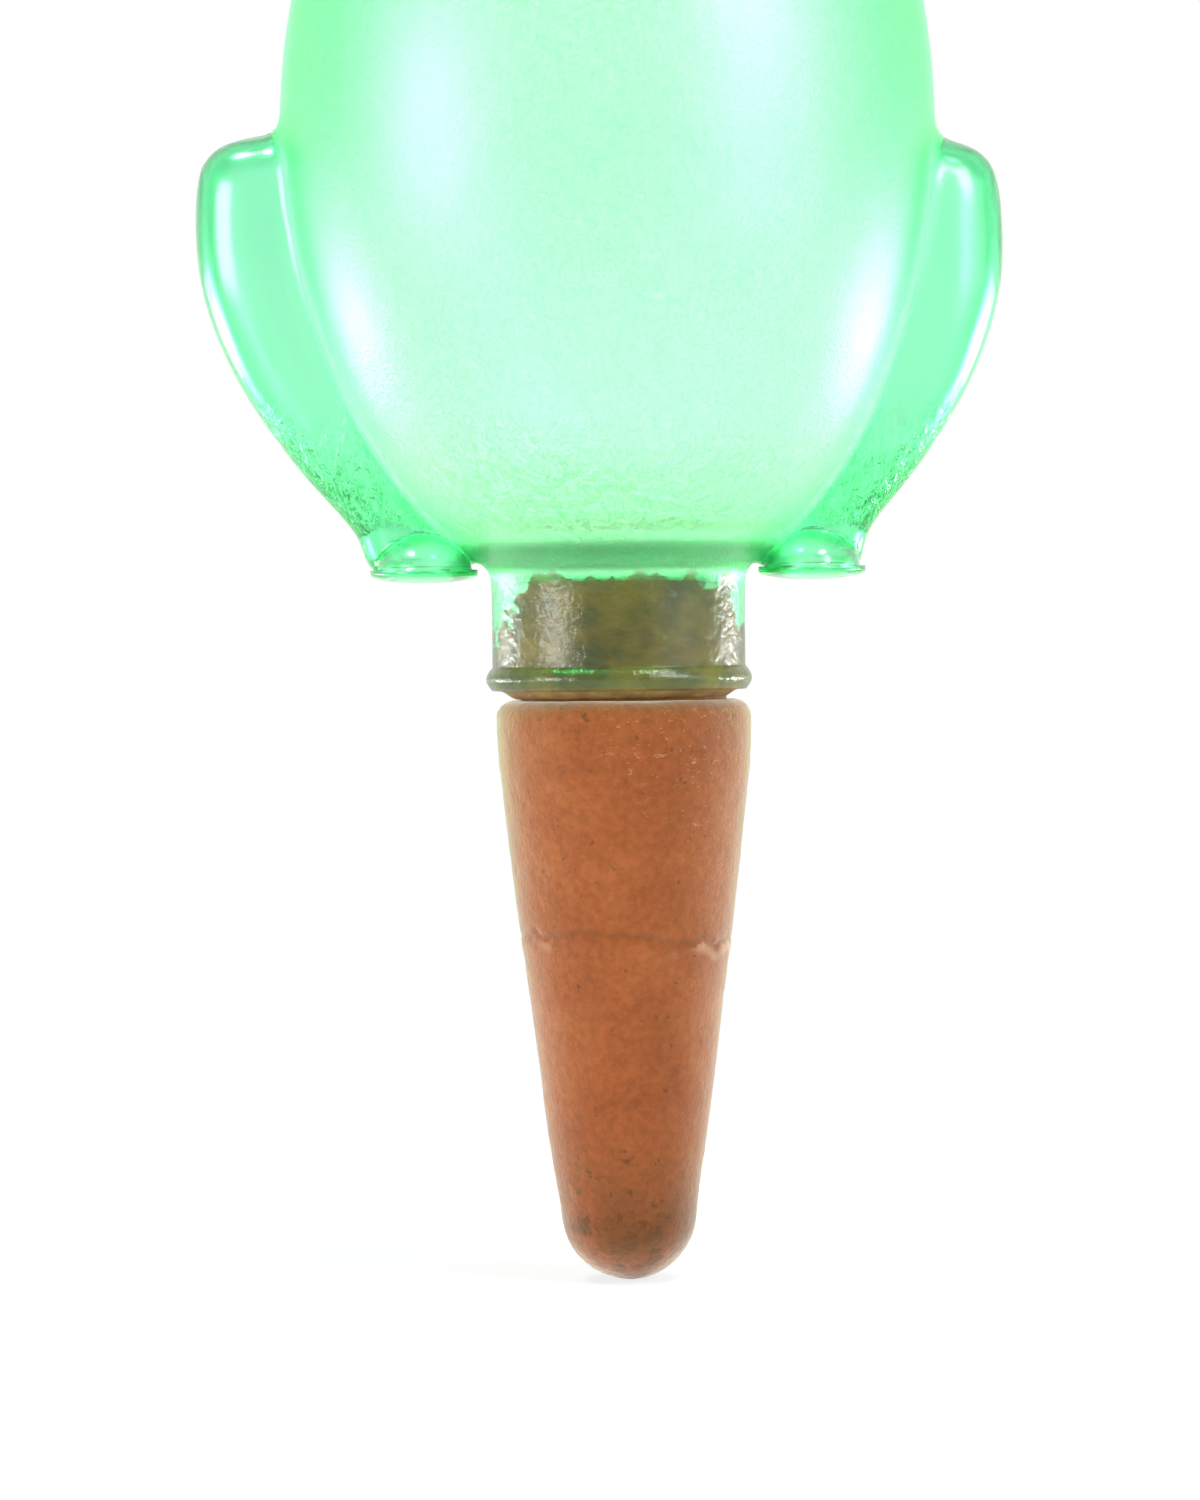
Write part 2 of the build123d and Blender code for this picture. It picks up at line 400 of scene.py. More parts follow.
def easedRow(rows, share):
    # a smooth curve through the rows of a table, read at a share of the height
    last = len(rows) - 1
    index = max(i for i in range(last) if rows[i][0] <= share)
    low, high = rows[index], rows[index + 1]
    before, after = rows[max(index - 1, 0)], rows[min(index + 2, last)]
    span = high[0] - low[0]
    part = (share - low[0]) / span
    values = []
    for column in range(1, len(low)):
        slopeLow = (high[column] - before[column]) / (high[0] - before[0]) * span
        slopeHigh = (after[column] - low[column]) / (after[0] - low[0]) * span
        values.append(
            (2 * part ** 3 - 3 * part ** 2 + 1) * low[column]
            + (part ** 3 - 2 * part ** 2 + part) * slopeLow
            + (3 * part ** 2 - 2 * part ** 3) * high[column]
            + (part ** 3 - part ** 2) * slopeHigh
        )
    return values


def addLobe(bm, side):
    rings = []
    for step in range(lobe["rings"] + 1):
        share = step / lobe["rings"]
        standOut, width, depth = easedRow(lobe["shares"], share)
        level = lobe["lowZ"] + share * (lobe["height"] + side["rise"])
        halfWidth = width * lobe["halfWidth"]
        outward = side["out"][0] + share * (side["out"][1] - side["out"][0])
        reach = eggReach(level - egg["middleZ"]) + standOut * lobe["standOut"]
        middle = reach + outward - halfWidth
        above = max(0.0, share * lobe["height"] - lobe["height"] + lobe["topRound"])
        drawIn = lobe["topRound"] - sqrt(lobe["topRound"] ** 2 - above ** 2)
        place = (
            Matrix.Rotation(side["turn"], 4, "Z")
            @ Matrix.Translation((middle, 0, level))
            @ Matrix.Diagonal((halfWidth - drawIn, depth * lobe["halfDepth"] - drawIn, 1, 1))
        )
        made = bmesh.ops.create_circle(bm, segments=lobe["sides"], radius=1)
        for corner in made["verts"]:
            x, y = (copysign(abs(value) ** lobe["squareness"], value) for value in corner.co.xy)
            corner.co = place @ Vector((x, y, 0))
        ring = {edge for corner in made["verts"] for edge in corner.link_edges}
        if rings:
            bmesh.ops.bridge_loops(bm, edges=list(rings[-1] | ring))
        rings.append(ring)
    bmesh.ops.holes_fill(bm, edges=list(rings[0] | rings[-1]), sides=0)


def addDrum(bm, radiusLow, radiusHigh, lowZ, highZ):
    place = Matrix.Translation((0, 0, (lowZ + highZ) / 2))
    bmesh.ops.create_cone(
        bm, cap_ends=True, cap_tris=False, segments=egg["drumSides"], radius1=radiusLow,
        radius2=radiusHigh, depth=highZ - lowZ, matrix=place,
    )


def outerForm():
    bm = bmesh.new()
    ball = Matrix.Translation((0, 0, egg["middleZ"])) @ Matrix.Diagonal(
        (egg["radius"], egg["radius"], egg["halfHeight"], 1)
    )
    bmesh.ops.create_uvsphere(
        bm, u_segments=egg["sides"], v_segments=egg["rings"], radius=1, matrix=ball
    )
    neckZ, mouthZ = reservoirLow[2] - egg["spare"], reservoirHigh[2] + egg["spare"]
    addDrum(bm, egg["neckRadius"], egg["neckRadius"], neckZ, egg["middleZ"])
    addDrum(bm, egg["mouthRadius"], egg["mouthRadius"], egg["middleZ"], mouthZ)
    addDrum(
        bm, egg["mouthRadius"] + egg["mouthFlare"], egg["mouthRadius"],
        egg["mouthBaseZ"] - egg["mouthFlare"] / 2, egg["mouthBaseZ"] + egg["mouthFlare"] / 2,
    )
    for side in (lobe["right"], lobe["left"]):
        addLobe(bm, side)
    bmesh.ops.recalc_face_normals(bm, faces=bm.faces)
    joined = withModifiers(
        toMesh(bm, "forms"),
        ("REMESH", {"mode": "VOXEL", "voxel_size": egg["grain"], "use_smooth_shade": True}),
    )
    bm = bmesh.new()
    bm.from_mesh(joined)
    for _ in range(egg["softening"]):
        bmesh.ops.smooth_vert(
            bm, verts=bm.verts, factor=egg["softened"],
            use_axis_x=True, use_axis_y=True, use_axis_z=True,
        )
    span = egg["mouthBaseZ"] - egg["neckTopZ"]
    for corner in bm.verts:
        share = min(1.0, max(0.0, (corner.co.z - egg["neckTopZ"]) / span))
        corner.co.x -= egg["bow"] * sin(pi * share)
    for level, side in ((reservoirLow[2], -1), (reservoirHigh[2], 1)):
        bmesh.ops.bisect_plane(
            bm, geom=bm.verts[:] + bm.edges[:] + bm.faces[:], dist=onPlane,
            plane_co=(0, 0, level), plane_no=(0, 0, side), clear_outer=True,
        )
    return toMesh(bm, "outerForm")


def quarter(radius, height, lowZ):
    # from the top of a dome down to its rim
    steps = foot["domeSteps"]
    return [
        (radius * sin(pi / 2 * i / steps), lowZ + height * sin(pi / 2 * (1 - i / steps)))
        for i in range(steps + 1)
    ]


def placeFoot(bm, part, side, depthShare):
    bmesh.ops.scale(part, vec=(1, depthShare, 1), verts=part.verts)
    bmesh.ops.translate(part, vec=(side * foot["place"][0], foot["place"][1], 0), verts=part.verts)
    addTo(bm, part)


def addFoot(bm, side):
    crown = foot["halfWidth"] - foot["rimOverhang"]
    rimLow = foot["rimZ"] - foot["rim"]
    dome = quarter(crown, foot["dome"], foot["rimZ"])
    mirrored = quarter(foot["halfWidth"], foot["sole"], rimLow)
    sole = [(x, 2 * rimLow - z) for x, z in reversed(mirrored)]
    part = bmesh.new()
    wireOutline(part, dome + [(foot["halfWidth"], foot["rimZ"])] + sole)
    turnOutline(part, foot["sides"])
    placeFoot(bm, part, side, foot["halfDepth"] / foot["halfWidth"])


def footHollow(side):
    # the room in a foot, with its opening into the lobe above
    crown = foot["halfWidth"] - foot["rimOverhang"] - foot["wall"]
    depth = foot["halfDepth"] - foot["rimOverhang"] - foot["wall"]
    floorZ = foot["rimZ"] - foot["rim"] - foot["sole"] + foot["wall"]
    dome = quarter(crown, foot["dome"] - foot["wall"], foot["rimZ"])
    part, room, opening = bmesh.new(), bmesh.new(), bmesh.new()
    wireOutline(part, dome + [(crown, floorZ), (0, floorZ)])
    turnOutline(part, foot["sides"])
    placeFoot(room, part, side, depth / crown)
    halfWidth, halfDepth = foot["ankle"]
    lowZ, highZ = foot["rimZ"], foot["rimZ"] + foot["dome"] + foot["wall"]
    drum = (
        Matrix.Translation((side * foot["place"][0], 0, (lowZ + highZ) / 2))
        @ Matrix.Diagonal((halfWidth, halfDepth, 1, 1))
    )
    bmesh.ops.create_cone(
        opening, cap_ends=True, cap_tris=False, segments=foot["ankleSides"], radius1=1,
        radius2=1, depth=highZ - lowZ, matrix=drum,
    )
    return joinSolid(toMesh(room, "room"), toMesh(opening, "opening"), "UNION")


def addTo(bm, part):
    mesh = toMesh(part, "part")
    bm.from_mesh(mesh)
    bpy.data.meshes.remove(mesh)


def addRing(bm, ring):
    # a half round ring on a wall, with its back sunk into the wall
    back, topZ = ring["radius"] - egg["wall"] / 2, ring["lowZ"] + ring["height"]
    bulge = [
        (
            ring["radius"] + ring["overhang"] * sin(pi * i / ringSteps),
            ring["lowZ"] + ring["height"] * i / ringSteps,
        )
        for i in range(ringSteps + 1)
    ]
    part = bmesh.new()
    corners = wireOutline(part, [(back, ring["lowZ"])] + bulge + [(back, topZ)])
    part.edges.new((corners[-1], corners[0]))
    turnOutline(part, egg["drumSides"])
    addTo(bm, part)


def joinSolid(mesh, other, operation):
    tool = bpy.data.objects.new("tool", other)
    bpy.context.scene.collection.objects.link(tool)
    joined = withModifiers(
        mesh,
        ("BOOLEAN", {"operation": operation, "solver": "EXACT", "object": tool}),
    )
    bpy.data.objects.remove(tool)
    return joined


def makeReservoir():
    shell = withModifiers(
        outerForm(),
        ("SOLIDIFY", {"thickness": egg["wall"], "offset": -1, "use_even_offset": True,
                      "use_quality_normals": True, "use_rim": True}),
    )
    trims, hollows = bmesh.new(), bmesh.new()
    for side in (1, -1):
        addFoot(trims, side)
        hollows.from_mesh(footHollow(side))
    for ring in (lip, bead):
        addRing(trims, ring)
    shell = joinSolid(shell, toMesh(trims, "trims"), "UNION")
    return joinSolid(shell, toMesh(hollows, "hollows"), "DIFFERENCE")


plastic = {
    "ior": 1.47,
    "passed": (0.07, 0.992, 0.60, 1),  # with the density: what a metre of the wall lets through
    "density": 600.0,
    "capDensity": 300.0,  # the cap is thicker, and paler for it
    "lampTint": (0.93, 0.985, 0.955, 1),  # what one surface lets a lamp send through
    "tones": [(0.35, (0.95, 0.99, 0.96)), (0.65, (0.98, 1.0, 0.985))],
    "toneNoise": (45.0, 2.0),
    "clearRoughness": 0.15,
    "neckRoughness": 0.06,  # more than the clear plastic's
    "frostRoughness": 0.34,
    "frostTint": (0.955, 1.0, 0.93, 1),
    "frostReach": (0.982, 0.990),  # the frosted skin, as a share of the egg's own surface
    "frostFade": (0.975, 0.995),  # and how it ends outside, counted down from 2
    "frostHaze": (0.25, 0.15),  # share of light the frosted skin scatters, low down and high up
    "hazeZ": (0.020, 0.060),
    # darker where the wall is seen aslant, partly for the longer path through the tinted wall and
    # partly painted shade for the dark sides of the room seen through it; the palest last stop is a
    # painted highlight along the outline
    "edgeShadeAndRimTones": [
        (0.20, (1.0, 1.0, 1.0)), (0.50, (0.52, 0.82, 0.66)),
        (0.76, (0.37, 0.70, 0.53)), (0.94, (0.66, 0.81, 0.78)),
    ],
    "edgeShadeFade": (0.028, 0.056),  # the painted edge shade and rim highlight fade out below these heights, where the lamps light the lower edges
    # distances from the axis at which the neck and the root end
    "neckEdge": (0.0162, 0.0185),
    "rootEdge": (0.0175, 0.0205),
    "neckFadeZ": (0.0140, 0.0165),
    "rootShadeBand": (0.0146, 0.0157, 0.0182, 0.0194),  # painted shade round the neck's root, where the egg's underside curves in
    "rootShadeTone": (0.26, 0.41, 0.32, 1),
    "footZ": (0.0180, 0.0300),
    "footTone": (0.80, 0.95, 0.87, 1),
    # the mould's pinch leaves the lobes' lower ends wrinkled, with darker blotches
    "pinchBand": (0.0196, 0.0215, 0.0240, 0.0380),
    "pinchTone": (0.62, 0.80, 0.70, 1),
    "blotches": (0.44, 0.60),
    # scale of the noise, its detail and roughness, and the bump's strength and depth
    "waves": (90.0, 2.0, 0.5, 0.10, 0.0004),
    "waveRoughness": 0.06,
    "peel": (900.0, 3.0, 0.6, 0.5, 0.00035),
    "grain": (2300.0, 2.0, 0.6, 0.6, 0.00015),
    "grainRange": (0.3, 0.7),
    "grainHaze": (0.45, 1.55),
    "creaseScale": (760, 760, 380),
    "creases": (1.0, 3.0, 0.65, 0.9, 0.0011),
    "creaseBend": 0.5,
}


def textured(tree, place, kind, share, under, bend=0.0):
    # noise of one kind, and the surface raised by it in proportion to the share
    scale, detail, roughness, strength, depth = plastic[kind]
    field = speckle(tree, place, scale, detail, roughness, bend)
    height = field if share is None else maths(tree, "MULTIPLY", field, share)
    return field, raised(tree, height, strength, depth, under)


def band(tree, height, edges):
    # 1 between the two middle heights, 0 outside the outer two
    above, below = stepUp(tree, height, *edges[:2]), stepUp(tree, height, *edges[2:])
    return maths(tree, "SUBTRACT", above, below)


def frostShare(tree, place, height):
    # 1 on the egg's outer skin, which is bowed as outerForm bows it
    bowed = mapRange(tree, height, (egg["neckTopZ"], egg["mouthBaseZ"]), (0.0, pi))
    bowed = maths(tree, "MULTIPLY", maths(tree, "SINE", bowed), egg["bow"])
    bowed = addNode(tree, "CombineXYZ", {"X": bowed, "Z": -egg["middleZ"]}).outputs[0]
    centred = addNode(tree, "VectorMath", {0: place, 1: bowed}, operation="ADD").outputs[0]
    scale = (1 / egg["radius"], 1 / egg["radius"], 1 / egg["halfHeight"])
    reach = lengthOf(tree, stretched(tree, centred, scale))
    inside = stepUp(tree, reach, *plastic["frostReach"])
    outside = stepUp(tree, maths(tree, "SUBTRACT", 2.0, reach), *plastic["frostFade"])
    return maths(tree, "MULTIPLY", inside, outside)


def frostedSkin(tree, shader, place, height, colour, roughness, normal):
    # the reservoir's own looks: frost on the egg, orange peel on the neck, wrinkled lobes
    fromAxis = lengthOf(tree, stretched(tree, place, (1, 1, 0)))
    pastNeck = stepUp(tree, fromAxis, *plastic["neckEdge"])
    pastRoot = stepUp(tree, fromAxis, *plastic["rootEdge"])
    frost = frostShare(tree, place, height)
    aboveNeck = stepUp(tree, height, *plastic["neckFadeZ"])
    neck = maths(tree, "SUBTRACT", oneMinus(tree, pastNeck), aboveNeck)
    neck = maths(tree, "MAXIMUM", neck, 0.0)
    pinched = maths(tree, "MULTIPLY", pastRoot, band(tree, height, plastic["pinchBand"]))
    pinched = maths(tree, "MULTIPLY", pinched, oneMinus(tree, frost))
    folded = stretched(tree, place, plastic["creaseScale"])
    bend = plastic["creaseBend"]
    normal = textured(tree, place, "peel", neck, normal)[1]
    creases, normal = textured(tree, folded, "creases", pinched, normal, bend)
    grain, normal = textured(tree, place, "grain", frost, normal)
    roughness = maths(tree, "MULTIPLY_ADD", neck, plastic["neckRoughness"], roughness)
    rougher = plastic["frostRoughness"] - plastic["clearRoughness"]
    roughness = maths(tree, "MULTIPLY_ADD", frost, rougher, roughness)
    # the haze grows low down: painted light that makes the egg's lower part lighter
    haze = mapRange(tree, height, plastic["hazeZ"], plastic["frostHaze"])
    speckled = mapRange(tree, grain, plastic["grainRange"], plastic["grainHaze"])
    haze = maths(tree, "MULTIPLY", frost, maths(tree, "MULTIPLY", haze, speckled))
    tree.links.new(oneMinus(tree, haze), shader.inputs["Transmission Weight"])
    # painted shade round the neck's root
    rootShadeBand = band(tree, height, plastic["rootShadeBand"])
    low = oneMinus(tree, stepUp(tree, height, *plastic["footZ"]))
    blotches = stepUp(tree, creases, *plastic["blotches"])
    for share, tint in (
        (maths(tree, "MULTIPLY", rootShadeBand, oneMinus(tree, pastRoot)), "rootShadeTone"),
        (maths(tree, "MULTIPLY", low, pastNeck), "footTone"),
        (maths(tree, "MULTIPLY", pinched, blotches), "pinchTone"),
        (frost, "frostTint"),
    ):
        colour = tinted(tree, share, colour, plastic[tint])
    return colour, roughness, normal


def plasticMaterial(name, frosted, density):
    material, tree, shader = newMaterial(name)
    place = addNode(tree, "TexCoord").outputs["Object"]
    height = addNode(tree, "SeparateXYZ", {0: place}).outputs["Z"]
    wave, normal = textured(tree, place, "waves", None, None)
    roughness = maths(
        tree, "MULTIPLY_ADD", wave, plastic["waveRoughness"], plastic["clearRoughness"]
    )
    # painted shade and a painted rim highlight, set by how aslant the wall is seen, and faded out
    # low down
    aslant = addNode(tree, "LayerWeight", {"Blend": 0.5}).outputs["Facing"]
    edge = tones(tree, aslant, plastic["edgeShadeAndRimTones"])
    colour = tones(tree, speckle(tree, place, *plastic["toneNoise"]), plastic["tones"])
    colour = tinted(tree, stepUp(tree, height, *plastic["edgeShadeFade"]), colour, edge)
    shader.inputs["Transmission Weight"].default_value = 1.0
    if frosted:
        colour, roughness, normal = frostedSkin(
            tree, shader, place, height, colour, roughness, normal
        )
    tree.links.new(colour, shader.inputs["Base Color"])
    tree.links.new(roughness, shader.inputs["Roughness"])
    tree.links.new(normal, shader.inputs["Normal"])
    shader.inputs["IOR"].default_value = plastic["ior"]
    output = tree.nodes["Material Output"]
    absorb = addNode(
        tree, "VolumeAbsorption", {"Color": plastic["passed"], "Density": density}
    )
    tree.links.new(absorb.outputs[0], output.inputs["Volume"])
    # lamps reach what is inside
    path = addNode(tree, "LightPath")
    through = addNode(tree, "BsdfTransparent", {"Color": plastic["lampTint"]})
    mixed = addNode(
        tree, "MixShader",
        {0: path.outputs["Is Shadow Ray"], 1: shader.outputs["BSDF"], 2: through.outputs[0]},
    )
    tree.links.new(mixed.outputs[0], output.inputs["Surface"])
    return material


reservoirPlastic = plasticMaterial("frostedGreenPlastic", True, plastic["density"])
reservoir = showPiece("reservoir_shell", makeReservoir(), reservoirPlastic)
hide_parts("reservoir")
litFromAbove.objects.link(reservoir)
print("reservoir made:", len(reservoir.data.polygons), "faces")

capPlastic = plasticMaterial("satinGreenPlastic", False, plastic["capDensity"])
nodes["filler_cap"].data.materials.clear()
nodes["filler_cap"].data.materials.append(capPlastic)
litFromAbove.objects.link(nodes["filler_cap"])
print("cap finished")


# Clay cone: turned, then worn by hand-sized lumps, pits and the press seam

cone = {
    "offset": 0.0005,  # it's glued in a little to the right
    # outline of the outside: radius, height and how far the round at that corner runs
    "outline": [
        (0.00695, -0.0685, 0.0068),
        (0.00825, -0.0590, 0.0026),
        (0.01290, -0.0250, 0.0080),
        (0.01500, -0.0055, 0.0028),
        (0.01500, 0.0, 0.0020),
    ],
    "roundSteps": 10,
    "spigotRadius": 0.01215,
    "spigotChamfer": 0.0009,
    "chamferSteps": 3,
    "wellRadius": 0.00835,
    "wellEndRadius": 0.0048,
    "wellRound": 0.7,  # of the well's end radius
    "wellSteps": 4,
    "wellFloorZ": -0.057,
    "noseZ": -0.061,  # all below this is outside
    "spacing": 0.00042,
    "steps": 210,
}
# where the two halves of the mould meet
seam = {
    "z": -0.0279,
    "width": 0.0006,
    "depth": 0.00020,
    # how it wanders: noise of these heights, scales and layers
    "wander": [(0.0016, 60, 2.0), (0.0006, 400, 5.0), (0.0004, 1100, 3.0)],
    # what lies along it: middle and half height, in seam widths above its line
    # painted shade on the groove's upper wall
    "grooveShadeBand": (0.3, 1.0),
    "paleBand": (-1.5, 1.6),
    "grooveBand": (0.0, 1.0),
    "ledgeBand": (-1.9, 1.7),
    "ledgeShare": 0.35,
    "depthNoise": (1.1, 140, 7.0),
    "depthMean": 0.7,
    "depthLeast": 0.15,
    # it's chipped at the sides, and more on the right
    "chipsFrom": 0.70,
    "chipsGrowth": 2.4,
    "chipsRight": 30,
    "chipsNoise": 1.3,
    "chipsScale": (300, 300, 500),
}
# the clay's relief: height and scale of the noise, its own settings and its place in the field
worn = {
    "lumps": (0.00018, 70, (1.0, 2.0, 2), Vector((0, 0, 0))),
    "rough": (0.00004, 420, (0.7, 2.2, 3), Vector((3, 1, 4))),
    "pitDepth": 0.00010,
    "pitScale": 900,
    "pitPlace": Vector((9, 2, 6)),
    "pitFrom": 0.45,
}


def layerNoise(place, scale, layer):
    return noise.noise(Vector((place.x * scale, place.y * scale, layer)))


def hump(value, middle, half):
    # 1 in the middle, 0 from half its breadth away on
    return max(0.0, 1 - ((value - middle) / half) ** 2)


def seamAt(place):
    # how far above the seam a point is, and its mark: 1 painted shade in the groove, -1 pale chips
    wander = 0.0
    for height, scale, layer in seam["wander"]:
        wander += height * layerNoise(place, scale, layer)
    above = (place.z - seam["z"] - wander) / seam["width"]
    atSide = abs(place.x) / max(sameSpot, place.xy.length)
    chips = seam["chipsGrowth"] * (atSide - seam["chipsFrom"]) + seam["chipsRight"] * place.x
    chips += seam["chipsNoise"] * noise.noise(place * Vector(seam["chipsScale"]))
    chipped = min(1.0, max(0.0, chips)) * hump(above, *seam["paleBand"])
    return above, hump(above, *seam["grooveShadeBand"]) - chipped


def clayRelief(place):
    relief = 0.0
    for height, scale, settings, spot in (worn["lumps"], worn["rough"]):
        relief += height * noise.fractal(place * scale + spot, *settings)
    # the seam is a wandering groove over a ledge
    above = seamAt(place)[0]
    height, scale, layer = seam["depthNoise"]
    depth = seam["depthMean"] + height * layerNoise(place, scale, layer)
    depth = seam["depth"] * max(seam["depthLeast"], depth)
    relief -= depth * hump(above, *seam["grooveBand"])
    relief += seam["depth"] * seam["ledgeShare"] * hump(above, *seam["ledgeBand"])
    pit = noise.noise(place * worn["pitScale"] + worn["pitPlace"]) - worn["pitFrom"]
    return relief - worn["pitDepth"] * max(0.0, pit) / (1 - worn["pitFrom"])


def makeCone():
    bm = bmesh.new()
    outside = [(radius, height) for radius, height, reach in cone["outline"]]
    corners = wireOutline(bm, [(0, coneLow[2])] + outside + [
        (cone["spigotRadius"], 0),
        (cone["spigotRadius"], coneHigh[2]),
        (cone["wellRadius"], coneHigh[2]),
        (cone["wellEndRadius"], cone["wellFloorZ"]),
        (0, cone["wellFloorZ"]),
    ])
    for corner, (radius, height, reach) in zip(corners[1:], cone["outline"]):
        roundCorner(bm, corner, reach, cone["roundSteps"])
    roundCorner(bm, corners[-4], cone["spigotChamfer"], cone["chamferSteps"])
    wellRound = cone["wellEndRadius"] * cone["wellRound"]
    roundCorner(bm, corners[-2], wellRound, cone["wellSteps"])
    divideLong(bm, cone["spacing"])
    turnOutline(bm, cone["steps"])
    bm.normal_update()
    # the seam's mark carries the painted shade in its groove and the pale chips
    marks = bm.verts.layers.float.new("seam")
    moves = []
    for corner in bm.verts:
        place = corner.co
        facesOut = corner.normal.dot(Vector((place.x, place.y, 0))) > 0
        outer = facesOut or place.z < cone["noseZ"]
        corner[marks] = seamAt(place)[1] if outer else 0.0
        moves.append(corner.normal * (clayRelief(place) if outer else 0.0))
    for corner, move in zip(bm.verts, moves):
        corner.co += move
        corner.co.x += cone["offset"]
    return toMesh(bm, "clayCone")


clay = {
    # noise: scale, detail, roughness and bend
    "broad": (75.0, 3.0, 0.55, 0.6),
    "fine": (1100.0, 4.0, 0.6),
    "tones": [
        (0.30, (0.222, 0.056, 0.0135)), (0.52, (0.262, 0.071, 0.0175)),
        (0.74, (0.315, 0.098, 0.028)),
    ],
    "fineTones": [(0.36, (0.84, 0.83, 0.82)), (0.64, (1.10, 1.11, 1.12))],
    # pale scratches on the upper right
    "dust": (0.62, 0.36, 0.20, 1),
    "dustShare": 0.42,
    "scratchScale": (900, 900, 1700),
    "scratches": (1.0, 3.0, 0.6, 1.2),
    "scratchEdge": (0.60, 0.70),
    "scratchSlope": 1.2,
    "scratchZ": (-0.018, 0.004),
    # soot on the tip and in specks on the flank; the same dark colour paints shade into the seam's
    # groove
    "soot": (0.075, 0.030, 0.007, 1),
    "sootNoise": (480.0, 5.0, 0.7, 0.6),
    "sootEdge": (0.62, 0.71),
    "sootShare": 0.65,
    "tipReach": (0.048, 0.064),  # below the soil line
    "tipMore": 0.11,
    "smokeEdge": (0.25, 0.60),
    "smokeShare": 0.75,
    "specks": (800.0, 1.0),
    "speckEdge": (0.73, 0.77),
    "speckShare": 0.6,
    "mostSoot": 0.85,
    "grooveShadeShare": 0.30,
    "chips": (0.70, 0.48, 0.32, 1),
    "chipsShare": 0.42,
    # bumps: the noise, then the bump's strength and depth
    "tooth": ((1700.0, 4.0, 0.7), 0.6, 0.00015),
    "dents": ((380.0, 3.0, 0.6), 0.30, 0.00025),
    "scratchBump": (-0.4, 0.0001),
    "roughness": (0.2, 0.75),
    "sheen": 1.0,
    "sheenRoughness": 0.46,
    "sheenTint": (1.0, 0.92, 0.80, 1),
}


def clayMaterial():
    material, tree, shader = newMaterial("firedClay")
    place = addNode(tree, "TexCoord").outputs["Object"]
    parts = addNode(tree, "SeparateXYZ", {0: place})
    across, height = parts.outputs["X"], parts.outputs["Z"]
    broad, fine = speckle(tree, place, *clay["broad"]), speckle(tree, place, *clay["fine"])
    colour = tones(tree, broad, clay["tones"])
    colour = blendColours(tree, 1.0, colour, tones(tree, fine, clay["fineTones"]), "MULTIPLY")
    scratched = stretched(tree, place, clay["scratchScale"])
    scratches = stepUp(
        tree, speckle(tree, scratched, *clay["scratches"]), *clay["scratchEdge"]
    )
    upper = maths(tree, "MULTIPLY_ADD", across, clay["scratchSlope"], height)
    scratches = maths(tree, "MULTIPLY", scratches, stepUp(tree, upper, *clay["scratchZ"]))
    dust = maths(tree, "MULTIPLY", scratches, clay["dustShare"])
    colour = blendColours(tree, dust, colour, clay["dust"])
    # soot, smoke and the painted shade in the seam's groove darken the clay together
    nearTip = stepUp(tree, maths(tree, "MULTIPLY", height, -1.0), *clay["tipReach"])
    soot = speckle(tree, place, *clay["sootNoise"])
    soot = maths(tree, "MULTIPLY_ADD", nearTip, clay["tipMore"], soot)
    soot = stepUp(tree, soot, *clay["sootEdge"])
    specks = stepUp(tree, speckle(tree, place, *clay["specks"]), *clay["speckEdge"])
    # the seam's mark above 0 is painted shade in its groove
    mark = addNode(tree, "Attribute", attribute_name="seam").outputs["Fac"]
    marks = maths(tree, "MULTIPLY", maths(tree, "MAXIMUM", mark, 0.0), clay["grooveShadeShare"])
    for field, share in ((soot, "sootShare"), (specks, "speckShare")):
        marks = maths(tree, "MAXIMUM", marks, maths(tree, "MULTIPLY", field, clay[share]))
    smoky = maths(tree, "MULTIPLY", nearTip, stepUp(tree, broad, *clay["smokeEdge"]))
    marks = maths(tree, "MULTIPLY_ADD", smoky, clay["smokeShare"], marks)
    marks = maths(tree, "MINIMUM", marks, clay["mostSoot"])
    colour = blendColours(tree, marks, colour, clay["soot"])
    pale = maths(tree, "MAXIMUM", maths(tree, "MULTIPLY", mark, -1.0), 0.0)
    pale = maths(tree, "MULTIPLY", pale, clay["chipsShare"])
    colour = blendColours(tree, pale, colour, clay["chips"])
    roughness = maths(tree, "MULTIPLY_ADD", fine, *clay["roughness"])
    relief = None
    for field, strength, depth in (clay["tooth"], clay["dents"]):
        relief = raised(tree, speckle(tree, place, *field), strength, depth, relief)
    relief = raised(tree, scratches, *clay["scratchBump"], relief)
    tree.links.new(colour, shader.inputs["Base Color"])
    tree.links.new(roughness, shader.inputs["Roughness"])
    tree.links.new(relief, shader.inputs["Normal"])
    shader.inputs["Specular IOR Level"].default_value = 0.0
    shader.inputs["Sheen Weight"].default_value = clay["sheen"]
    shader.inputs["Sheen Roughness"].default_value = clay["sheenRoughness"]
    shader.inputs["Sheen Tint"].default_value = clay["sheenTint"]
    return material


clayCone = showPiece("clay_cone_pressed", makeCone(), clayMaterial())
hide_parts("clay_cone")
print("clay cone made:", len(clayCone.data.polygons), "faces")


# Sealant: a dull brown sleeve that wets the neck, with dry pockets between

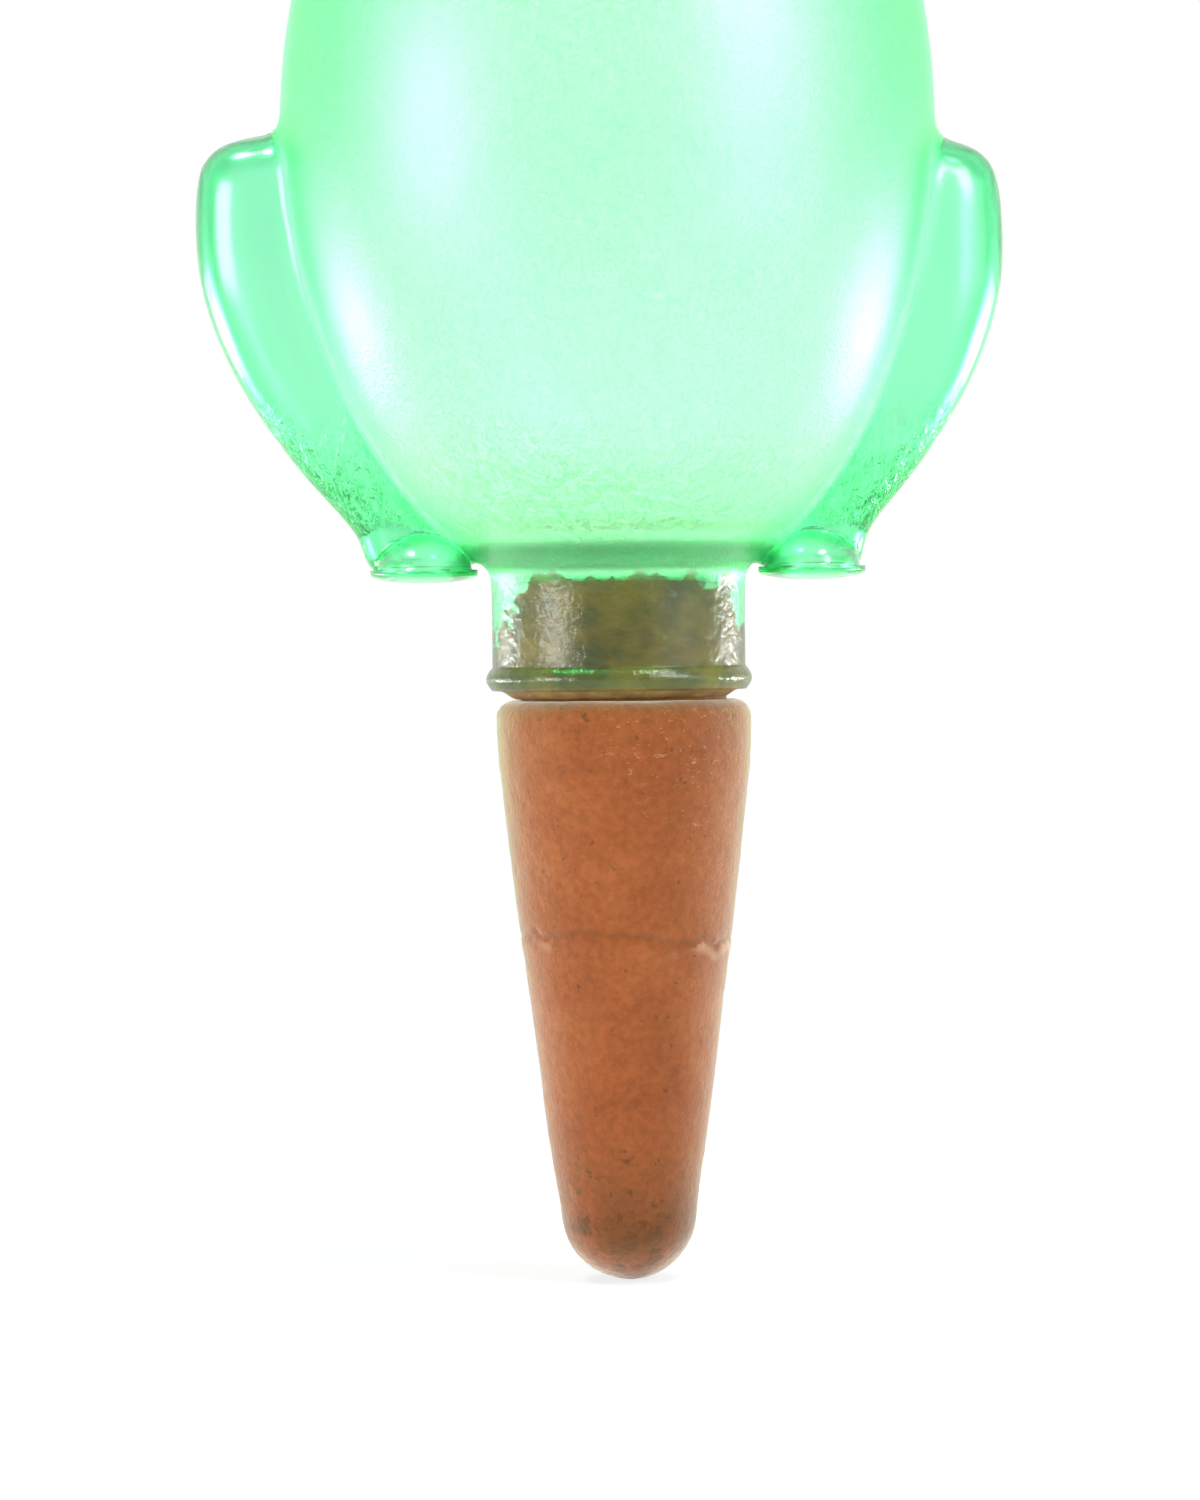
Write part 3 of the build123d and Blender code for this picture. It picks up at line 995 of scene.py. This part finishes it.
sealant = {
    "innerRadius": 0.01218,
    "dryRadius": 0.01235,
    "wetRadius": 0.01425,  # a little into the neck's wall, so no air is left between
    "lowZ": 0.0015,
    "lipRadius": 0.0147,  # behind the lip it lies deeper in the wall
    "lipSlope": 0.0006,
    "squeezedOut": [(0.0136, 0.0010), (0.0127, 0.0004), (0.01222, 0.0002)],
    "highZ": 0.0138,
    # inner radius and top of the smear left on the wall above, and its torn edge
    "smear": (0.01385, 0.0156),
    "smearNoise": (260, 4.0, (0.7, 2.0, 4)),
    "smearMean": 0.55,
    "smearTear": 1.3,
    "smearLeast": 0.1,
    "spacing": 0.0003,
    "steps": 240,
    # dry pockets: turn from the front in degrees, height, half breadth in degrees, half height
    "pockets": [
        (-84, 0.0118, 26, 0.0056),
        (-58, 0.0138, 12, 0.0014),
        (82, 0.0122, 17, 0.0042),
        (48, 0.0140, 9, 0.0009),
        (150, 0.0060, 22, 0.0030),
        (205, 0.0115, 18, 0.0025),
    ],
    "pocketScale": (330, 330, 420),
    "pocketNoise": (0.8, 2.0, 3),
    "pocketTear": 0.9,
    "pocketFade": 0.25,
}


def dryAt(place):
    # 1 in a dry pocket, 0 where the sealant wets the neck, with torn edges between
    turn = degrees(atan2(place.x, -place.y))
    best = max(
        1 - (((turn - middle + 180) % 360 - 180) / breadth) ** 2 - ((place.z - level) / height) ** 2
        for middle, level, breadth, height in sealant["pockets"]
    )
    torn = noise.fractal(place * Vector(sealant["pocketScale"]), *sealant["pocketNoise"])
    return min(1.0, max(0.0, (best + sealant["pocketTear"] * torn) / sealant["pocketFade"]))


def tornSmear(place):
    # how much of the smear's height is left here
    scale, layer, settings = sealant["smearNoise"]
    torn = noise.fractal(Vector((place.x * scale, place.y * scale, layer)), *settings)
    left = sealant["smearMean"] + sealant["smearTear"] * torn
    return min(1.0, max(sealant["smearLeast"], left))


def makeSealant():
    bm = bmesh.new()
    lipTop = lip["lowZ"] + lip["height"]
    smearRadius, smearTop = sealant["smear"]
    outline = [(sealant["innerRadius"], sealant["squeezedOut"][-1][1])]
    outline += reversed(sealant["squeezedOut"])
    outline += [
        (sealant["lipRadius"], sealant["lowZ"]),
        (sealant["lipRadius"], lipTop - sealant["lipSlope"]),
        (sealant["wetRadius"], lipTop),
        (sealant["wetRadius"], smearTop),
        (smearRadius, smearTop),
        (smearRadius, sealant["highZ"]),
        (sealant["innerRadius"], sealant["highZ"]),
    ]
    corners = wireOutline(bm, outline)
    bm.edges.new((corners[-1], corners[0]))
    divideLong(bm, sealant["spacing"])
    turnOutline(bm, sealant["steps"])
    dry = bm.verts.layers.float.new("dry")
    middle = (sealant["innerRadius"] + sealant["wetRadius"]) / 2
    for corner in bm.verts:
        reach = corner.co.xy.length
        above = corner.co.z - sealant["highZ"]
        if above > sameSpot:
            corner.co.z = sealant["highZ"] + above * tornSmear(corner.co)
        if reach > middle and corner.co.z >= lipTop:
            corner[dry] = dryAt(corner.co)
            drawnIn = corner[dry] * (sealant["wetRadius"] - sealant["dryRadius"])
            corner.co.xy *= 1 - drawnIn / reach
    return toMesh(bm, "sealant")


glue = {
    # noise: scale, detail and roughness
    "mottle": (420.0, 4.0, 0.6),
    "broad": (120.0, 3.0, 0.6),
    "wetTones": [(0.35, (0.18, 0.035, 0.002)), (0.65, (0.30, 0.063, 0.006))],
    "patchTones": [(0.38, (0.72, 0.72, 0.72)), (0.62, (1.45, 1.5, 1.5))],
    "dryTones": [(0.35, (0.52, 0.42, 0.32)), (0.65, (0.70, 0.62, 0.50))],
    # the strip squeezed out below and the smear above, and how far they fade into the rest
    "stripTones": [(0.35, (0.20, 0.115, 0.034)), (0.65, (0.34, 0.21, 0.068))],
    "stripZ": (lip["lowZ"] - 0.0002, lip["lowZ"] + 0.0003),
    "smearZ": (sealant["highZ"], sealant["highZ"] + 0.0005),
    "roughness": (0.3, 0.55),
    "wrinkleScale": (1500, 1500, 2600),
    "wrinkles": (1.0, 3.0, 0.6),
    # bumps: strength and depth
    "mottleBump": (0.4, 0.0003),
    "wrinkleBump": (0.8, 0.0003),
}


def sealantMaterial():
    material, tree, shader = newMaterial("curedSealant")
    place = addNode(tree, "TexCoord").outputs["Object"]
    height = addNode(tree, "SeparateXYZ", {0: place}).outputs["Z"]
    dry = addNode(tree, "Attribute", attribute_name="dry").outputs["Fac"]
    mottle = speckle(tree, place, *glue["mottle"])
    patches = tones(tree, speckle(tree, place, *glue["broad"]), glue["patchTones"])
    wet = blendColours(tree, 1.0, tones(tree, mottle, glue["wetTones"]), patches, "MULTIPLY")
    colour = blendColours(tree, dry, wet, tones(tree, mottle, glue["dryTones"]))
    strip = tones(tree, mottle, glue["stripTones"])
    colour = blendColours(tree, stepUp(tree, height, *glue["smearZ"]), colour, strip)
    colour = blendColours(tree, stepUp(tree, height, *glue["stripZ"]), strip, colour)
    roughness = maths(tree, "MULTIPLY_ADD", mottle, *glue["roughness"])
    wrinkled = stretched(tree, place, glue["wrinkleScale"])
    relief = raised(tree, mottle, *glue["mottleBump"])
    relief = raised(
        tree, speckle(tree, wrinkled, *glue["wrinkles"]), *glue["wrinkleBump"], relief
    )
    tree.links.new(colour, shader.inputs["Base Color"])
    tree.links.new(roughness, shader.inputs["Roughness"])
    tree.links.new(relief, shader.inputs["Normal"])
    return material


sleeve = showPiece("sealant_patchy", makeSealant(), sealantMaterial())
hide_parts("sealant_sleeve")
print("sealant made:", len(sleeve.data.polygons), "faces")
